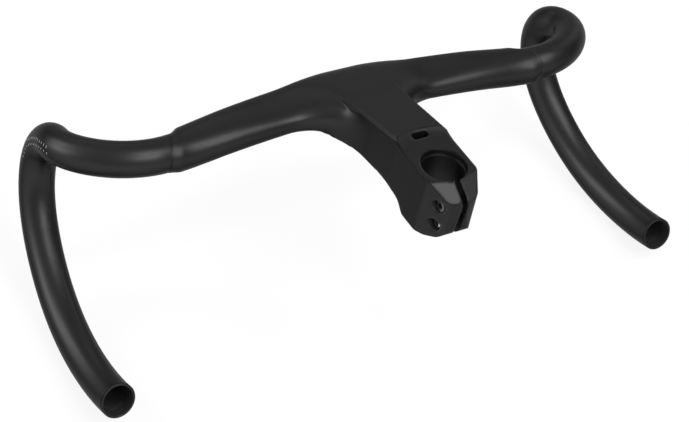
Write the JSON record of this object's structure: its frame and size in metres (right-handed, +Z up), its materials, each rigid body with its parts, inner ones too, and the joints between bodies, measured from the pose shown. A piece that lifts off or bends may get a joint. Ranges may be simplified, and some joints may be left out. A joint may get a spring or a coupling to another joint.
{
  "type": "integrated aero handlebar",
  "caption": "One-piece black carbon drop handlebar and stem with flattened aero tops, hooked drops and a split rear clamp pinched onto the steerer by cross bolts.",
  "frame": {"origin": "centre of the steerer bore on the clamp's flat top, at the mouth of the top cap recess", "axes": "+X to the rider's right, +Y forward from the clamp to the bar, +Z up along the steerer axis"},
  "size_m": [0.4538, 0.2005, 0.1546],
  "materials": {
    "carbon": "satin lacquer over carbon fibre",
    "bolt_black": "black oxide steel",
    "washer_steel": "black oxide steel",
    "insert_steel": "turned"
  },
  "bodies": {
    "root": {"handlebar_body": "carbon", "pinch_bolt_upper": "bolt_black", "pinch_bolt_lower": "bolt_black", "washer_upper": "washer_steel", "washer_lower": "washer_steel", "insert_upper": "insert_steel", "insert_lower": "insert_steel"}
  },
  "joints": []
}
